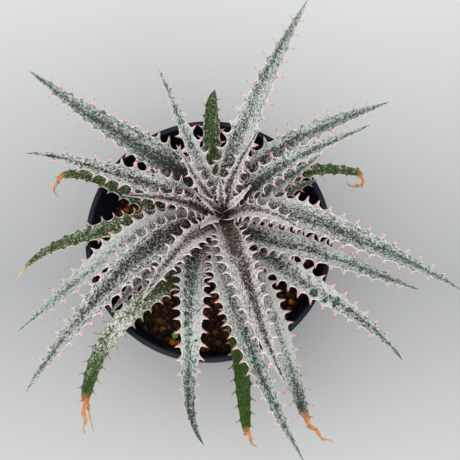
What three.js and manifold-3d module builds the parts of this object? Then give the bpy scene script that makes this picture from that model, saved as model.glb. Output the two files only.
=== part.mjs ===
// A potted dyckia: a spiny silver bromeliad rosette on a short stem, rooted in
// granular soil in a round plastic nursery pot. Millimetres, +Z up, origin at
// the middle of the pot's underside.
import * as THREE from 'three';
import { mergeVertices } from 'three/addons/utils/BufferGeometryUtils.js';
import Module from 'manifold-3d';

const wasm = await Module();
wasm.setup();

// ---- Pot -------------------------------------------------------------------
const POT_HEIGHT = 90;
const RIM_RADIUS = 52.5;
const RIM_BAND = 3;           // width of the flat top of the lip
const LIP_DEPTH = 8;          // how far the lip turns down outside
const FOOT_RADIUS = 38;
const WALL = 1.2;
const FLOOR = 2.2;
const POT_SEGMENTS = 48;
const DRAIN_SLOTS = 6;
const DRAIN_WIDTH = 9;
const DRAIN_DEPTH = 5;        // in from the foot's edge
const DRAIN_HEIGHT = 3.5;

// ---- Soil ------------------------------------------------------------------
const SOIL_LEVEL = 68;        // 22 mm below the rim
const GRAIN_PITCH = 6;        // middle to middle of the granules in the relief
const GRAIN_RISE = 1.2;
const GRAIN_WOBBLE = 0.7;     // uneven placing of the granules
const SOIL_TOP = 78;          // above every granule, where the fill is cut from
const GAP = 0.35;             // clearance kept between neighbouring pieces

// ---- Stem ------------------------------------------------------------------
const STEM_X = 6;             // the plant stands a little off the pot's axis
const STEM_Y = 7;
const STEM_FOOT = 56;         // the stem reaches this far down into the soil
const STEM_RADIUS = 9;
const STEM_BEVEL = 2.5;
const STEM_SEGMENTS = 24;
// [radius, height] up the stem: a stout foot that narrows to the growing point
const STEM_PROFILE = [[STEM_RADIUS, SOIL_LEVEL], [STEM_RADIUS, 84], [6, 100], [2.8, 110], [1.2, 116]];

// ---- Leaves ----------------------------------------------------------------
const ROOT_WIDTH = 0.76;      // part of the full width at the root
const WIDEST = [0.22, 0.3];   // stretch of the length that is at full width
const TAPER = 1.65;           // how late the blade narrows towards the tip
const TIP_WIDTH = 0.07;
const ROOT_PLACES = [0, 0.07, 0.13];  // extra sections where the root bends most
const LEAF_THICKNESS = [2.3, 1.0];  // along the middle, at the root and the tip
const MARGIN_THICKNESS = 0.7;
const CHANNEL = 0.4;          // rise of the margins over the middle, in half widths
const SPINE_LENGTH = 3.7;
const SPINE_GROWTH = [[0, 0.8], [0.25, 1], [0.5, 1], [0.8, 0.8], [1, 0.5]];  // part of it, along the leaf
const SPINE_HALF_BASE = 1.1;
const SPINE_PITCH = 5.6;
const SMALL_LEAF = 30;        // no longer than this, a leaf has few and short spines
const SMALL_SPINE = 0.4;      // part of the length of the others
const SPINE_LEAN = 0.35;      // forward lean of the outer spines
const LEAN_FROM = 0.35;       // part of the length where they begin to lean
const SPINE_TIP_THICKNESS = 0.6;
const DRY_WIDTHS = [[0, 0.36], [0.25, 0.24], [0.6, 0.16], [1, 0.09]];  // part of it, along a withered tip

// One entry a leaf, from the lowest to the growing point. The last one is a short
// low leaf that lies hidden under a longer one.
//   rootZ    height of the root on the stem
//   heading  compass bearing of the midrib in degrees from +X, at the root, one
//            third, two thirds and the tip
//   rise     its slope above level in degrees, at the root, middle and tip
//   length, width   along the midrib and across the widest part
//   blunt    how late this blade narrows, where it isn't TAPER
//   dry      withered part of the length; hook and droop are how far that part
//            turns sideways and down, in degrees
//   split    the withered part is torn in two strands, this many degrees apart
const LEAVES = [
  { kind: 'green', rootZ: 78, heading: [168, 157, 163, 231], rise: [30, 10, -14],
    length: 76, width: 6.4, blunt: 2.6, dry: 0.17, hook: 79, droop: -30 },
  { kind: 'green', rootZ: 84.5, heading: [27, 25, 23, 18], rise: [34, 10, -6], length: 36, width: 6 },
  { kind: 'green', rootZ: 82, heading: [167, 197, 200, 245], rise: [34, 8, -24], length: 89, width: 7.5 },
  { kind: 'green', rootZ: 80, heading: [-88, -80, -86, -73], rise: [30, 3, -34],
    length: 92, width: 7, blunt: 3, dry: 0.14, hook: 35, droop: -20 },
  { kind: 'green', rootZ: 81, heading: [115, 86, 91, 69], rise: [40, 18, 4],
    length: 52, width: 7, blunt: 6 },
  { kind: 'green', rootZ: 82, heading: [-118, -140, -117, -92], rise: [38, 8, -30],
    length: 106, width: 8, blunt: 2.5, dry: 0.17, hook: 4, droop: -10, split: 12 },
  { kind: 'green', rootZ: 88, heading: [28, 26, -5, 6], rise: [40, 14, -10],
    length: 69, width: 5, blunt: 3, dry: 0.2, hook: -279, droop: -25 },
  { kind: 'silver', rootZ: 84, heading: [-59, -69, -74, -65], rise: [42, 8, -24],
    length: 102, width: 7.8, blunt: 2.2, dry: 0.2, hook: 50, droop: -10 },
  { kind: 'silver', rootZ: 86, heading: [-184, -145, -137, -142], rise: [46, 12, -8],
    length: 95, width: 9.6 },
  { kind: 'silver', rootZ: 87, heading: [126, 151, 148, 143], rise: [48, 16, 2], length: 97, width: 12 },
  { kind: 'silver', rootZ: 87, heading: [-133, -90, -92, -51], rise: [46, 10, -22],
    length: 96, width: 9.4 },
  { kind: 'silver', rootZ: 88, heading: [-44, -39, -35, -55], rise: [48, 12, -14],
    length: 91, width: 9.4 },
  { kind: 'silver', rootZ: 89, heading: [65, 33, 20, 19], rise: [48, 18, 6], length: 82.5, width: 9 },
  { kind: 'silver', rootZ: 93.5, heading: [28, 27, 31, 39], rise: [50, 26, 15], length: 44, width: 6.5 },
  { kind: 'silver', rootZ: 92.5, heading: [-32, -22, -23, -16], rise: [50, 16, -6],
    length: 83, width: 9 },
  { kind: 'silver', rootZ: 92, heading: [148, 169, 166, 183], rise: [54, 20, 6], length: 82, width: 8.4 },
  { kind: 'silver', rootZ: 93, heading: [-161, -134, -127, -121], rise: [54, 20, 0],
    length: 110, width: 10.8 },
  { kind: 'silver', rootZ: 94, heading: [-94, -75, -68, -58], rise: [54, 20, -8],
    length: 110, width: 9.2 },
  { kind: 'silver', rootZ: 97.5, heading: [7, -26, -28, -34], rise: [56, 20, -2],
    length: 104, width: 11.2 },
  { kind: 'silver', rootZ: 96, heading: [83, 66, 62, 59], rise: [58, 29, 13], length: 92.5, width: 9.6 },
  { kind: 'silver', rootZ: 102.5, heading: [40, 26, 18, 21], rise: [60, 32, 18],
    length: 70, width: 7.2, blunt: 1.4 },
  { kind: 'silver', rootZ: 99.5, heading: [114, 120, 115, 119], rise: [63, 38, 22],
    length: 66, width: 5.6 },
  { kind: 'young', rootZ: 99, heading: [165, 178, 184, 187], rise: [65, 42, 28], length: 45, width: 5 },
  { kind: 'young', rootZ: 100, heading: [-136, -127, -120, -118], rise: [62, 42, 28],
    length: 62, width: 7.6 },
  { kind: 'young', rootZ: 106, heading: [-3, -24, -34, -38], rise: [66, 44, 28], length: 44, width: 5.6 },
  { kind: 'young', rootZ: 103, heading: [-77, -75, -74, -63], rise: [62, 38, 24],
    length: 95, width: 10.6 },
  { kind: 'young', rootZ: 106, heading: [74, 59, 53, 51], rise: [72, 57, 44], length: 42, width: 4.8 },
  { kind: 'young', rootZ: 104, heading: [137, 135, 130, 125], rise: [72, 60, 46],
    length: 40, width: 4.2 },
  { kind: 'young', rootZ: 108, heading: [-136, -128, -122, -115], rise: [76, 62, 50],
    length: 20, width: 4.2 },
  { kind: 'young', rootZ: 110.5, heading: [158, 155, 152, 149], rise: [70, 50, 34], length: 13, width: 3.6 },
  { kind: 'young', rootZ: 112, heading: [24, 32, 40, 48], rise: [66, 46, 30], length: 15, width: 2.8 },
  { kind: 'young', rootZ: 115, heading: [98, 96, 94, 92], rise: [72, 54, 38], length: 13, width: 3.6 },
  { kind: 'silver', rootZ: 82, heading: [-152, -141, -131, -131], rise: [34, 13, 0],
    length: 54.5, width: 6.6 },
];

// ---- Seedling --------------------------------------------------------------
const SEEDLING = {
  x: -14.7, y: -39, leaves: 3, leafLength: 3, leafWidth: 1.8, leafThickness: 0.9,
  stalkRadius: 0.5, stalkHeight: 1.6,
};

// ---- Colours ---------------------------------------------------------------
const COLOURS = {
  silver: '#8e9590', green: '#4a5c2e', young: '#9c9089',
  stem: '#6d5a50', soil: '#5a3a1c', pot: '#18212b', seedling: '#5f9a34',
};

const clamp01 = (x) => Math.min(1, Math.max(0, x));
const radians = THREE.MathUtils.degToRad;

// Value of the polynomial through evenly spaced values, at s from 0 to 1.
function through(values, s) {
  const n = values.length - 1;
  return values.reduce((sum, value, i) => {
    let weight = 1;
    for (let j = 0; j <= n; j += 1) {
      if (j !== i) weight *= (s * n - j) / (i - j);
    }
    return sum + value * weight;
  }, 0);
}

// Straight-line value between [x, y] pairs.
function between(pairs, x) {
  if (x <= pairs[0][0]) return pairs[0][1];
  for (let i = 1; i < pairs.length; i += 1) {
    const [x0, y0] = pairs[i - 1];
    const [x1, y1] = pairs[i];
    if (x <= x1) return y0 + (y1 - y0) * (x - x0) / (x1 - x0);
  }
  return pairs[pairs.length - 1][1];
}

const stemRadius = (z) => between(STEM_PROFILE.map(([r, h]) => [h, r]), z);

// ---- Solids from meshes ----------------------------------------------------

// Merges shared corners and drops the faces that collapse on a lathe's axis.
function weld(geometry) {
  const bare = geometry.clone();
  bare.deleteAttribute('normal');
  bare.deleteAttribute('uv');
  const merged = mergeVertices(bare, 1e-4);
  const old = merged.index.array;
  const kept = [];
  for (let i = 0; i < old.length; i += 3) {
    const [a, b, c] = [old[i], old[i + 1], old[i + 2]];
    if (a !== b && b !== c && c !== a) kept.push(a, b, c);
  }
  merged.setIndex(kept);
  return merged;
}

function toSolid(geometry) {
  return new wasm.Manifold(new wasm.Mesh({
    numProp: 3,
    vertProperties: new Float32Array(geometry.attributes.position.array),
    triVerts: new Uint32Array(geometry.index.array),
  }));
}

function fromSolid(solid) {
  const mesh = solid.getMesh();
  const geometry = new THREE.BufferGeometry();
  geometry.setAttribute('position', new THREE.BufferAttribute(mesh.vertProperties, 3));
  geometry.setIndex(new THREE.BufferAttribute(mesh.triVerts, 1));
  return geometry;
}

// A closed skin over rings of equal size, capped at both ends.
function loft(rings) {
  const size = rings[0].length;
  const index = [];
  for (let i = 0; i + 1 < rings.length; i += 1) {
    for (let j = 0; j < size; j += 1) {
      const a = i * size + j;
      const b = i * size + (j + 1) % size;
      index.push(a, b, b + size, a, b + size, a + size);
    }
  }
  const last = (rings.length - 1) * size;
  for (let j = 1; j + 1 < size; j += 1) {
    index.push(0, j + 1, j, last, last + j, last + j + 1);
  }
  const geometry = new THREE.BufferGeometry();
  geometry.setFromPoints(rings.flat());
  geometry.setIndex(index);
  return geometry;
}

// A turned solid about +Z from [radius, height] points, foot first.
function turned(profile, segments) {
  const points = profile.map(([r, z]) => new THREE.Vector2(r, z));
  return weld(new THREE.LatheGeometry(points, segments).rotateX(Math.PI / 2));
}

// ---- Leaf form -------------------------------------------------------------

// Bearing and slope of the midrib at s, with the extra turn of a dry tip.
function bearing(leaf, s) {
  const turn = leaf.dry ? clamp01((s - 1 + leaf.dry) / leaf.dry) : 0;
  return {
    heading: radians(through(leaf.heading, s) + (leaf.hook ?? 0) * turn),
    rise: radians(through(leaf.rise, s) + (leaf.droop ?? 0) * turn),
  };
}

function direction({ heading, rise }) {
  const level = Math.cos(rise);
  return new THREE.Vector3(level * Math.cos(heading), level * Math.sin(heading), Math.sin(rise));
}

// The midrib as a run of points, from just clear of the stem to the tip.
function midrib(leaf) {
  const steps = 120;
  const start = bearing(leaf, 0);
  const lowerCorner = leaf.rootZ - Math.cos(start.rise);
  const reach = stemRadius(lowerCorner) + GAP + Math.sin(start.rise);
  const points = [new THREE.Vector3(
    STEM_X + reach * Math.cos(start.heading),
    STEM_Y + reach * Math.sin(start.heading),
    leaf.rootZ,
  )];
  for (let i = 0; i < steps; i += 1) {
    const step = direction(bearing(leaf, (i + 0.5) / steps)).multiplyScalar(leaf.length / steps);
    points.push(points[i].clone().add(step));
  }
  return points;
}

// Point on the midrib at s with its forward, sideways and upward directions.
function frameAt(leaf, rib, s) {
  const place = clamp01(s) * (rib.length - 1);
  const i = Math.min(Math.floor(place), rib.length - 2);
  const at = bearing(leaf, s);
  const forward = direction(at);
  const side = new THREE.Vector3(Math.sin(at.heading), -Math.cos(at.heading), 0);
  return {
    point: rib[i].clone().lerp(rib[i + 1], place - i),
    forward,
    side,
    up: side.clone().cross(forward),
  };
}

// Half the blade's width: full by a fifth of the length, then a long taper.
function halfWidth(leaf, s) {
  const [full, taper] = WIDEST;
  let part = s < taper
    ? ROOT_WIDTH + (1 - ROOT_WIDTH) * clamp01(s / full)
    : 1 - (1 - TIP_WIDTH) * ((s - taper) / (1 - taper)) ** (leaf.blunt ?? TAPER);
  if (leaf.dry) {
    const shrink = clamp01((s - 1 + leaf.dry) / 0.05);
    const straw = between(DRY_WIDTHS, clamp01((s - 1 + leaf.dry) / leaf.dry));
    part = part * (1 - shrink) + Math.min(part, straw) * shrink;
  }
  return Math.max(part * leaf.width / 2, 0.35);
}

function thickness(leaf, s) {
  const [root, tip] = LEAF_THICKNESS;
  const slim = leaf.width < 6 ? 0.8 : 1;
  return Math.max((root + (tip - root) * s) * slim, 0.8);
}

function spineLength(leaf, s) {
  const along = between(SPINE_GROWTH, s);
  const small = leaf.length <= SMALL_LEAF ? SMALL_SPINE : 1;
  return SPINE_LENGTH * along * small * Math.min(1, 0.55 + leaf.width / 18);
}

// Where the spines stand along the left and right margins, by turns.
function spinePlaces(leaf) {
  const { length } = leaf;
  const small = length <= SMALL_LEAF;
  const last = small ? 0.8 : 0.93;
  const end = (leaf.dry ? 0.97 - leaf.dry : last) * length - SPINE_PITCH / 2;
  const start = small ? 0.3 * length : 0.2 * length + 2;
  const count = Math.max(2, Math.round((end + SPINE_PITCH / 2 - start) / SPINE_PITCH) + 1);
  const pitch = (end - start) / (count - 1);
  const left = Array.from({ length: count }, (_, i) => (start + pitch * i) / length);
  return { left, right: left.map((s) => s + pitch / 2 / length) };
}

// A point of one margin, pushed out where a spine has its tip. hand is -1 for the
// left margin and 1 for the right.
function marginPoint(leaf, rib, hand, { s, spine }) {
  const { point, forward, side, up } = frameAt(leaf, rib, s);
  const half = halfWidth(leaf, s);
  const corner = point.addScaledVector(side, hand * half).addScaledVector(up, CHANNEL * half);
  let edge = MARGIN_THICKNESS / 2;
  if (spine) {
    const length = spineLength(leaf, s);
    corner.addScaledVector(side, hand * length).addScaledVector(up, 0.15 * length);
    if (s > LEAN_FROM) corner.addScaledVector(forward, SPINE_LEAN * length);
    edge = SPINE_TIP_THICKNESS / 2;
  }
  return { top: corner.clone().addScaledVector(up, edge), foot: corner.clone().addScaledVector(up, -edge) };
}

function middlePoint(leaf, rib, s) {
  const { point, up } = frameAt(leaf, rib, s);
  const deep = thickness(leaf, s);
  return {
    top: point.clone().addScaledVector(up, 0.35 * deep),
    foot: point.clone().addScaledVector(up, -0.65 * deep),
  };
}

// The sections past the last spine: a dry tip needs more of them, for its hook.
function tipPlaces(leaf) {
  return leaf.dry ? [0.75, 0.5, 0.25, 0].map((part) => 1 - part * leaf.dry) : [1];
}

// The places along one margin: the two sides and the tip of each spine.
function marginPlaces(leaf, spines) {
  const half = SPINE_HALF_BASE / leaf.length;
  const places = ROOT_PLACES.map((s) => ({ s }));
  for (const s of spines) places.push({ s: s - half }, { s, spine: true }, { s: s + half });
  return [...places, ...tipPlaces(leaf).map((s) => ({ s }))];
}

// The blade: its upper and lower faces are stitched alike from each margin to the
// middle, so that they can't cross, and thin walls close the margins.
function bladeGeometry(leaf, rib) {
  const { left, right } = spinePlaces(leaf);
  const points = [];
  const index = [];
  const add = (places, pointAt) => places.map((place) => {
    const { top, foot } = pointAt(place);
    points.push(top, foot);
    return { s: place.s, top: points.length - 2, foot: points.length - 1 };
  });
  const triangle = (a, b, c, turned) => index.push(...(turned ? [a, c, b] : [a, b, c]));

  const middles = [...ROOT_PLACES, ...[...left, ...right].sort((a, b) => a - b), ...tipPlaces(leaf)];
  const middle = add(middles.map((s) => ({ s })), ({ s }) => middlePoint(leaf, rib, s));
  for (const [hand, spines] of [[-1, left], [1, right]]) {
    const margin = add(marginPlaces(leaf, spines), (place) => marginPoint(leaf, rib, hand, place));
    const mirrored = hand > 0;
    let [i, j] = [0, 0];
    while (i + 1 < margin.length || j + 1 < middle.length) {
      const [a, b] = [margin[i], middle[j]];
      const inward = i + 1 === margin.length || (j + 1 < middle.length && middle[j + 1].s <= margin[i + 1].s);
      const c = inward ? middle[j + 1] : margin[i + 1];
      triangle(a.top, b.top, c.top, mirrored);
      triangle(a.foot, b.foot, c.foot, !mirrored);
      if (inward) {
        j += 1;
      } else {
        triangle(a.top, c.top, c.foot, mirrored);
        triangle(a.top, c.foot, a.foot, mirrored);
        i += 1;
      }
    }
    const ends = [[margin[0], middle[0], mirrored], [margin[i], middle[j], !mirrored]];
    for (const [edge, core, turned] of ends) {
      triangle(core.top, edge.top, edge.foot, turned);
      triangle(core.top, edge.foot, core.foot, turned);
    }
  }
  const geometry = new THREE.BufferGeometry();
  geometry.setFromPoints(points);
  geometry.setIndex(index);
  return geometry;
}

// The second strand of a torn dry tip, its root sunk in the blade.
function strand(leaf, rib) {
  const from = 1 - leaf.dry - 0.04;
  const steps = 10;
  const { point, side } = frameAt(leaf, rib, from);
  const walk = point.addScaledVector(side, 0.8);
  const rings = [];
  for (let i = 0; i <= steps; i += 1) {
    const s = from + (1 - from) * i / steps;
    const at = bearing(leaf, s);
    at.heading += radians(leaf.split);
    const forward = direction(at);
    const across = new THREE.Vector3(Math.sin(at.heading), -Math.cos(at.heading), 0);
    const up = across.clone().cross(forward);
    const wide = 0.8 - 0.35 * i / steps;
    const ring = [[-wide, 0.4], [wide, 0.4], [wide, -0.4], [-wide, -0.4]];
    rings.push(ring.map(([x, y]) => walk.clone().addScaledVector(across, x).addScaledVector(up, y)));
    walk.addScaledVector(forward, leaf.length * (1 - from) / steps);
  }
  return loft(rings);
}

function leafGeometry(leaf) {
  const rib = midrib(leaf);
  const blade = bladeGeometry(leaf, rib);
  if (!leaf.split) return blade;
  return fromSolid(toSolid(blade).add(toSolid(strand(leaf, rib))));
}

// ---- Pot, soil, stem and seedling ------------------------------------------

const innerWall = (z) => {
  const slope = (RIM_RADIUS - RIM_BAND - FOOT_RADIUS + WALL) / (POT_HEIGHT - FLOOR);
  return FOOT_RADIUS - WALL + slope * (z - FLOOR);
};

function potGeometry() {
  const lipFoot = POT_HEIGHT - LIP_DEPTH;
  const profile = [
    [0, 0],
    [FOOT_RADIUS - 1, 0],
    [FOOT_RADIUS, 1],
    [innerWall(lipFoot) + WALL, lipFoot],
    [RIM_RADIUS - 0.4, lipFoot],
    [RIM_RADIUS, lipFoot + 0.6],
    [RIM_RADIUS, POT_HEIGHT - 0.9],
    [RIM_RADIUS - 0.8, POT_HEIGHT],
    [RIM_RADIUS - RIM_BAND + 0.4, POT_HEIGHT],
    [innerWall(POT_HEIGHT - 0.5), POT_HEIGHT - 0.5],
    [innerWall(FLOOR), FLOOR],
    [0, FLOOR],
  ];
  let pot = toSolid(turned(profile, POT_SEGMENTS));
  for (let i = 0; i < DRAIN_SLOTS; i += 1) {
    const slot = new THREE.BoxGeometry(2 * DRAIN_DEPTH, DRAIN_WIDTH, 2 * DRAIN_HEIGHT);
    slot.translate(FOOT_RADIUS, 0, 0).rotateZ(2 * Math.PI * (i + 0.5) / DRAIN_SLOTS);
    pot = pot.subtract(toSolid(weld(slot)));
  }
  return fromSolid(pot);
}

// A slab whose top is covered in six-sided granules of slightly uneven height.
function granules(reach) {
  const step = GRAIN_PITCH / Math.sqrt(3);
  const count = Math.ceil(reach / step) + 2;
  const size = 2 * count + 1;
  const top = [];
  const foot = [];
  THREE.MathUtils.seededRandom(7);
  const wobble = () => GRAIN_WOBBLE * (THREE.MathUtils.seededRandom() - 0.5);
  for (let row = -count; row <= count; row += 1) {
    for (let column = -count; column <= count; column += 1) {
      const lean = row / 2 - Math.floor(row / 2);
      const cube = column - Math.floor(row / 2);
      const peak = ((cube - row) % 3 + 3) % 3 === 0;
      const x = step * (column + lean) + wobble();
      const y = step * Math.sqrt(3) / 2 * row + wobble();
      const z = SOIL_LEVEL + (peak ? GRAIN_RISE : -GRAIN_RISE) + wobble();
      top.push(new THREE.Vector3(x, y, z));
      foot.push(new THREE.Vector3(x, y, 0));
    }
  }
  const index = [];
  const under = top.length;
  for (let row = 0; row + 1 < size; row += 1) {
    const even = (row - count) % 2 === 0;
    for (let column = 0; column + 1 < size; column += 1) {
      const a = row * size + column;
      const [b, c, d] = [a + 1, a + size, a + size + 1];
      const cells = even ? [[a, b, c], [b, d, c]] : [[a, b, d], [a, d, c]];
      for (const [p, q, r] of cells) index.push(p, q, r, under + p, under + r, under + q);
    }
  }
  for (let i = 0; i + 1 < size; i += 1) {
    const south = [i, i + 1];
    const north = [size * size - 1 - i, size * size - 2 - i];
    const east = [i * size + size - 1, (i + 1) * size + size - 1];
    const west = [(size - 1 - i) * size, (size - 2 - i) * size];
    for (const [p, q] of [south, north, east, west]) {
      index.push(p, under + p, under + q, p, under + q, q);
    }
  }
  const geometry = new THREE.BufferGeometry();
  geometry.setFromPoints([...top, ...foot]);
  geometry.setIndex(index);
  return geometry;
}

function soilGeometry() {
  const foot = FLOOR + GAP;
  const wall = [[innerWall(foot) - GAP, foot], [innerWall(SOIL_TOP) - GAP, SOIL_TOP]];
  const fill = turned([[0, foot], ...wall, [0, SOIL_TOP]], POT_SEGMENTS);
  const [socket, under] = [STEM_RADIUS + GAP, STEM_FOOT - GAP];
  const hole = turned([[0, under], [socket, under], [socket, SOIL_TOP + 1], [0, SOIL_TOP + 1]], STEM_SEGMENTS)
    .translate(STEM_X, STEM_Y, 0);
  const relief = toSolid(granules(innerWall(SOIL_TOP)));
  return fromSolid(relief.intersect(toSolid(fill)).subtract(toSolid(hole)));
}

function stemGeometry() {
  const top = STEM_PROFILE[STEM_PROFILE.length - 1];
  const foot = [[0, STEM_FOOT], [STEM_RADIUS - STEM_BEVEL, STEM_FOOT], [STEM_RADIUS, STEM_FOOT + STEM_BEVEL]];
  return turned([...foot, ...STEM_PROFILE, [0, top[1] + 1]], STEM_SEGMENTS);
}

// A tuft of three small rounded leaves growing up out of the soil.
function seedlingGeometry() {
  const { leaves, leafLength, leafWidth, leafThickness, stalkRadius, stalkHeight } = SEEDLING;
  const stalk = new THREE.CylinderGeometry(stalkRadius, stalkRadius, stalkHeight, 8);
  const blade = weld(new THREE.SphereGeometry(0.5, 8, 6)).scale(leafLength, leafWidth, leafThickness);
  blade.translate(0.4 * leafLength, 0, 0).rotateY(radians(-30)).rotateZ(radians(23));
  let tuft = toSolid(weld(stalk.rotateX(Math.PI / 2)));
  for (let i = 0; i < leaves; i += 1) {
    const one = blade.clone().rotateZ(2 * Math.PI * i / leaves).translate(0, 0, 0.4 * stalkHeight);
    tuft = tuft.add(toSolid(one));
  }
  return fromSolid(tuft);
}

// ---- Assembly --------------------------------------------------------------

function piece(name, geometry, colour, roughness) {
  const flat = geometry.index ? geometry.toNonIndexed() : geometry;
  flat.computeVertexNormals();
  const material = new THREE.MeshStandardMaterial({ color: colour, roughness, metalness: 0 });
  const mesh = new THREE.Mesh(flat, material);
  mesh.name = name;
  return mesh;
}

const dyckia = new THREE.Group();
dyckia.add(piece('pot', potGeometry(), COLOURS.pot, 0.55));
dyckia.add(piece('soil', soilGeometry(), COLOURS.soil, 0.95));

const stem = piece('stem', stemGeometry(), COLOURS.stem, 0.9);
stem.position.set(STEM_X, STEM_Y, 0);
dyckia.add(stem);

LEAVES.forEach((leaf, i) => {
  const name = `leaf_${String(i + 1).padStart(2, '0')}`;
  dyckia.add(piece(name, leafGeometry(leaf), COLOURS[leaf.kind], 0.8));
});

const seedling = piece('seedling', seedlingGeometry(), COLOURS.seedling, 0.7);
seedling.position.set(SEEDLING.x, SEEDLING.y, SOIL_LEVEL + GRAIN_RISE + SEEDLING.stalkHeight);
dyckia.add(seedling);

export default dyckia;
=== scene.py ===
import math
import random

import bmesh
import bpy
import numpy as np
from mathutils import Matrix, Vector


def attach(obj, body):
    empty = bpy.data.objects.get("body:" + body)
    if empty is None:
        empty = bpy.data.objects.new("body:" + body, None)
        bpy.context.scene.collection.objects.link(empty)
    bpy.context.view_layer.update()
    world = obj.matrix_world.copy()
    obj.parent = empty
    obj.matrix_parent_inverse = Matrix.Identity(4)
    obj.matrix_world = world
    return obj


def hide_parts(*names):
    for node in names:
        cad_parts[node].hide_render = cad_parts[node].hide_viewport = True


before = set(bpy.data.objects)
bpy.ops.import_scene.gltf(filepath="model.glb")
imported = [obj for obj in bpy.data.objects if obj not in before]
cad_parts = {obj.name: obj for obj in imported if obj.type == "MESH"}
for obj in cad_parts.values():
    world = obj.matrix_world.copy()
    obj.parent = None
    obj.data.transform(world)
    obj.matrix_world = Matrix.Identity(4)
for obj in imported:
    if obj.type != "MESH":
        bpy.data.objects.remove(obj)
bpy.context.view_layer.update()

MM = 0.001


# ---- Floor, light and camera ------------------------------------------------
# A plain pale grey sweep under a soft overhead light, as on a seller's table.
# The camera looks down on the rosette, a little from the front.
FLOOR_SPAN = 2.4
AIM = Vector((9.0, 3.6, 90.0)) * MM
CAMERA_DISTANCE = 450 * MM
CAMERA_ELEVATION = math.radians(77)
SENSOR = 36.0
FRAME_PIXELS = 460
FOCAL_PIXELS = 1058
NEAREST_SEEN = 10 * MM
SHEET_DROP = 0.2 * MM
ROOM_TINT = (0.93, 0.96, 1.0, 1.0)
ROOM_STRENGTH = 0.62


def add_node(tree, kind, inputs=None, **settings):
    """Adds a node and fills its inputs with plain values or other nodes' sockets."""
    made = tree.nodes.new(kind)
    for name, value in settings.items():
        setattr(made, name, value)
    for name, value in (inputs or {}).items():
        if isinstance(value, bpy.types.NodeSocket):
            tree.links.new(value, made.inputs[name])
        else:
            made.inputs[name].default_value = value
    return made


def new_material(name, **shader_values):
    """A material, its node tree and its Principled shader, whose fixed values are set on its own sockets."""
    material = bpy.data.materials.new(name)
    material.use_nodes = True
    tree = material.node_tree
    tree.nodes.clear()
    shader = add_node(tree, "ShaderNodeBsdfPrincipled")
    for key, value in shader_values.items():
        shader.inputs[key.replace("_", " ")].default_value = value
    add_node(tree, "ShaderNodeOutputMaterial", {"Surface": shader.outputs["BSDF"]})
    return material, tree, shader


def feed(shader, name, value):
    """Links a socket to one of the shader's inputs."""
    value.id_data.links.new(value, shader.inputs[name])


def own_place(tree):
    """Where a point of the piece is, in metres."""
    return add_node(tree, "ShaderNodeTexCoord").outputs["Object"]


def colour(hex_code):
    """Linear RGBA from a screen colour such as #8e9590."""
    parts = [int(hex_code[i : i + 2], 16) / 255 for i in (1, 3, 5)]
    return tuple(p / 12.92 if p <= 0.04045 else ((p + 0.055) / 1.055) ** 2.4 for p in parts) + (1.0,)


def mix_colours(factor, first, second):
    """The output of a mix from the first to the second colour, each a hex code or a socket."""
    ends = [colour(end) if isinstance(end, str) else end for end in (first, second)]
    mixed = add_node(factor.id_data, "ShaderNodeMix", {0: factor, 6: ends[0], 7: ends[1]}, data_type="RGBA")
    return mixed.outputs[2]


def noise(vector, scale, detail=3.0, roughness=0.5):
    """The grey value of a noise texture."""
    inputs = {"Vector": vector, "Scale": scale, "Detail": detail, "Roughness": roughness}
    return add_node(vector.id_data, "ShaderNodeTexNoise", inputs).outputs[0]


def mapped(vector, scale):
    """The vector with each of its parts scaled."""
    return add_node(vector.id_data, "ShaderNodeMapping", {"Vector": vector, "Scale": scale}).outputs[0]


floor_mesh = bpy.data.meshes.new("floor")
half_span = FLOOR_SPAN / 2
corners = [(x * half_span, y * half_span) for x, y in ((-1, -1), (1, -1), (1, 1), (-1, 1))]
floor_mesh.from_pydata([(x, y, -SHEET_DROP) for x, y in corners], [], [(0, 1, 2, 3)])
floor = bpy.data.objects.new("floor", floor_mesh)
bpy.context.scene.collection.objects.link(floor)
paper, tree, shader = new_material("pale_grey_paper", Roughness=0.9)
place = own_place(tree)
cloudy = noise(place, 4.0, 2.0)
paper_grey = mix_colours(cloudy, "#d4d4d2", "#d9d9d7")
# painted shade: the sheet is darkened in a wide band across its middle, standing in for the soft shade around
# the plant
shade_band_place = mapped(place, (0.0, 6.5, 0.0))
band = add_node(tree, "ShaderNodeTexGradient", {"Vector": shade_band_place}, gradient_type="SPHERICAL").outputs[0]
feed(shader, "Base Color", mix_colours(band, paper_grey, "#afb0af"))
floor_mesh.materials.append(paper)


def area_light(name, place, size, power, tint=(1.0, 1.0, 1.0)):
    """A square soft light that looks at the plant."""
    lamp = bpy.data.lights.new(name, "AREA")
    lamp.size = size
    lamp.energy = power
    lamp.color = tint
    holder = bpy.data.objects.new(name, lamp)
    holder.location = place
    holder.rotation_mode = "QUATERNION"
    holder.rotation_quaternion = (Vector(place) - AIM).to_track_quat("Z", "Y")
    bpy.context.scene.collection.objects.link(holder)


area_light("window_light", (-0.15, -0.12, 1.55), size=1.3, power=14.0, tint=(1.0, 1.0, 0.99))
area_light("fill_light", (0.3, -1.0, 1.2), size=1.2, power=5.0)

world = bpy.data.worlds.new("soft_room")
world.use_nodes = True
background = world.node_tree.nodes["Background"]
background.inputs["Color"].default_value = ROOM_TINT
background.inputs["Strength"].default_value = ROOM_STRENGTH
bpy.context.scene.world = world
bpy.context.scene.view_settings.view_transform = "Standard"

camera = bpy.data.objects.new("camera", bpy.data.cameras.new("camera"))
camera.data.sensor_width = SENSOR
camera.data.lens = SENSOR * FOCAL_PIXELS / FRAME_PIXELS
towards_camera = Vector((0.0, -math.cos(CAMERA_ELEVATION), math.sin(CAMERA_ELEVATION)))
camera.location = AIM + towards_camera * CAMERA_DISTANCE
camera.rotation_mode = "QUATERNION"
camera.rotation_quaternion = towards_camera.to_track_quat("Z", "Y")
camera.data.clip_start = NEAREST_SEEN
bpy.context.scene.collection.objects.link(camera)
bpy.context.scene.camera = camera


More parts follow.
